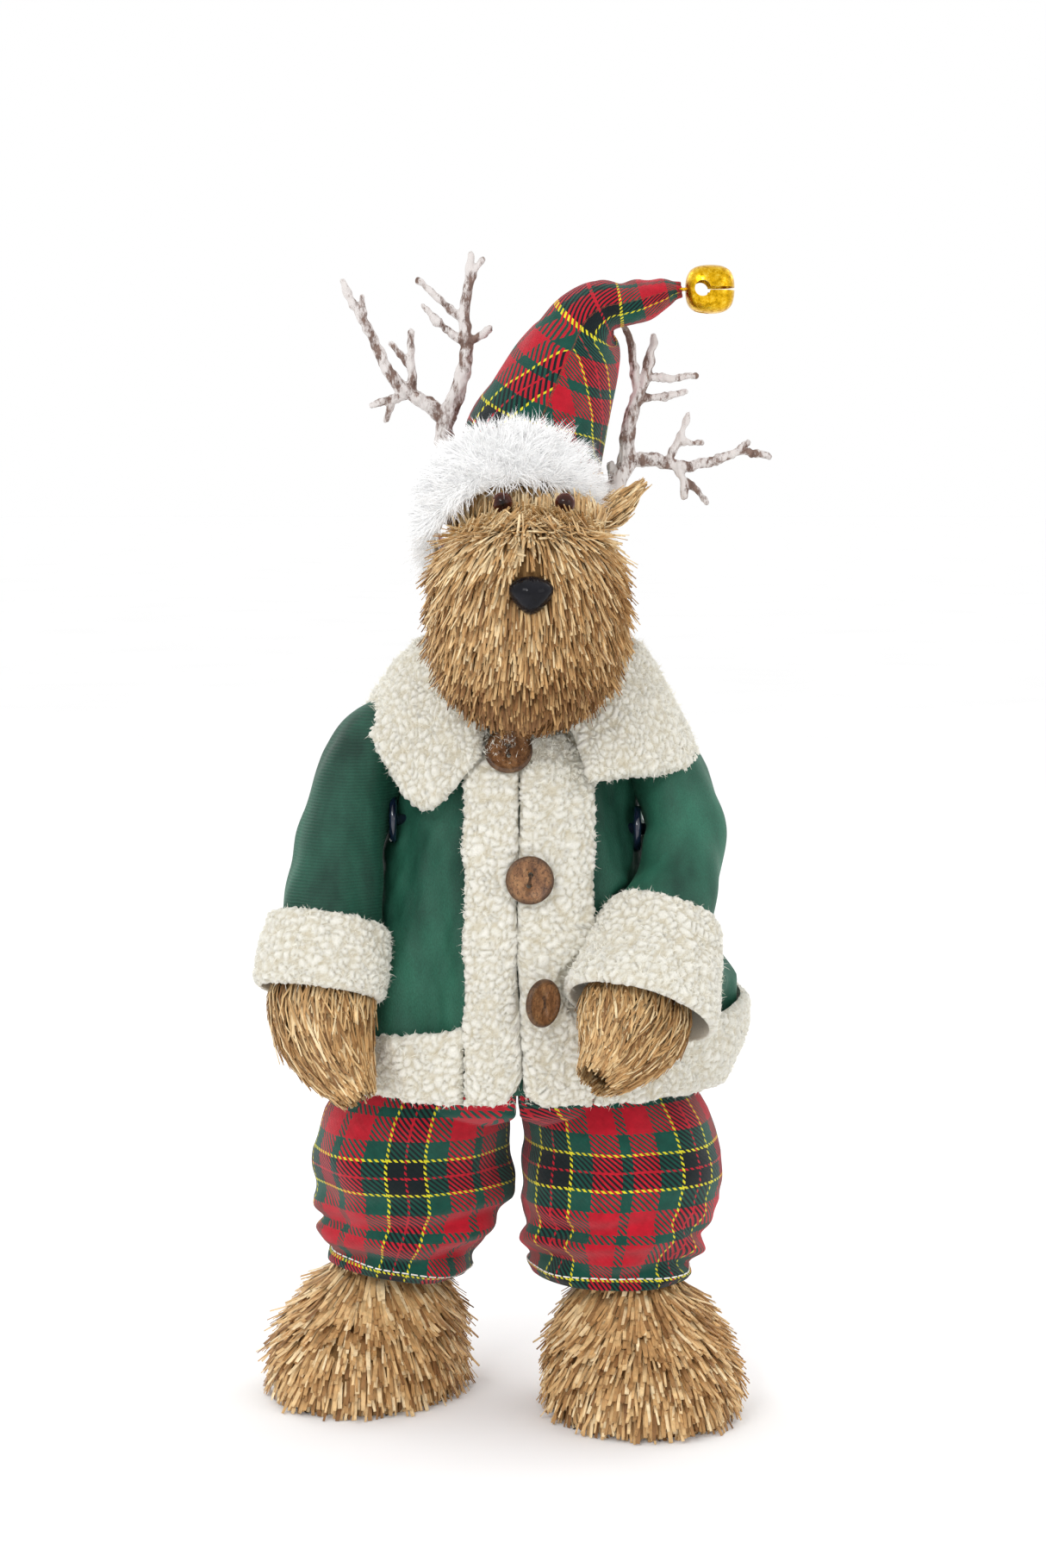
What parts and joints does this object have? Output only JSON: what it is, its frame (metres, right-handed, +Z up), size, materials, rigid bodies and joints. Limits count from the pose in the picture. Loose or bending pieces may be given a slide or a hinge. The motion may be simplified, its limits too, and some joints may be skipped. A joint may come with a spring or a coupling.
{
  "type": "dressed straw reindeer figure",
  "caption": "Standing straw reindeer figure with a velvet coat, sherpa trim, tartan trousers, twig antlers and a tartan hat with a fur brim and a jingle bell.",
  "frame": {"origin": "on the floor under the middle of the figure's box", "axes": "+Z up, the figure faces -Y, its own left side is at +X"},
  "size_m": [0.2194, 0.1754, 0.5001],
  "materials": {
    "straw": "dry straw",
    "velvet": "short velvet pile",
    "sherpa": "curly pile",
    "tartan": "woven twill check",
    "fur": "soft long pile",
    "board": "raw board",
    "wood": "raw dowel",
    "wadding": "loose fibre",
    "foam": "foam",
    "coconut": "polished shell",
    "blue_plastic": "glossy",
    "gloss_black": "glossy",
    "amber": "glossy, dark amber",
    "twig": "washed with white",
    "gold": "bright, crackled",
    "steel": "plain"
  },
  "bodies": {
    "root": {"sole_right": "board", "foot_right": "straw", "leg_dowel_right": "wood", "leg_stuffing_right": "wadding", "front_band_right": "sherpa", "shoulder_washer_right": "blue_plastic", "eye_right": "amber", "ear_right": "straw", "antler_right": "twig", "sole_left": "board", "foot_left": "straw", "leg_dowel_left": "wood", "leg_stuffing_left": "wadding", "front_band_left": "sherpa", "shoulder_washer_left": "blue_plastic", "eye_left": "amber", "ear_left": "straw", "antler_left": "twig", "trousers": "tartan", "torso": "wadding", "coat_body": "velvet", "hem_band": "sherpa", "collar": "sherpa", "button_top": "coconut", "button_middle": "coconut", "button_bottom": "coconut", "neck_dowel": "wood", "head_core": "foam", "head": "straw", "nose": "gloss_black", "hat_cone": "tartan", "hat_brim": "fur"},
    "right_arm": {"shoulder_disc_right": "blue_plastic", "arm_core_right": "wadding", "sleeve_right": "velvet", "cuff_right": "sherpa", "hand_right": "straw"},
    "left_arm": {"shoulder_disc_left": "blue_plastic", "arm_core_left": "wadding", "sleeve_left": "velvet", "cuff_left": "sherpa", "hand_left": "straw"},
    "hat_top": {"hat_tip": "tartan"},
    "bell": {"bell_loop": "gold", "bell_shell": "gold"},
    "clapper": {"bell_clapper": "steel"}
  },
  "joints": [
    {"name": "right_shoulder", "type": "hinge", "parent": "root", "child": "right_arm", "pos_m": [-0.07192, -0.0067, 0.26], "axis": [-1, 0, 0], "range_deg": [0, 80]},
    {"name": "left_shoulder", "type": "hinge", "parent": "root", "child": "left_arm", "pos_m": [0.07108, -0.0067, 0.256], "axis": [-1, 0, 0], "range_deg": [0, 50]},
    {"name": "hat_bend", "type": "hinge", "parent": "root", "child": "hat_top", "pos_m": [0.03808, 0.0163, 0.475], "axis": [0, 1, 0], "range_deg": [-15, 25]},
    {"name": "bell_tilt", "type": "hinge", "parent": "hat_top", "child": "bell", "pos_m": [0.06798, 0.0163, 0.4835], "axis": [0, 1, 0], "range_deg": [-15, 15]},
    {"name": "clapper_rattle", "type": "slide", "parent": "bell", "child": "clapper", "axis": [0, 0, 1], "range_m": [0, 0.0125]}
  ]
}
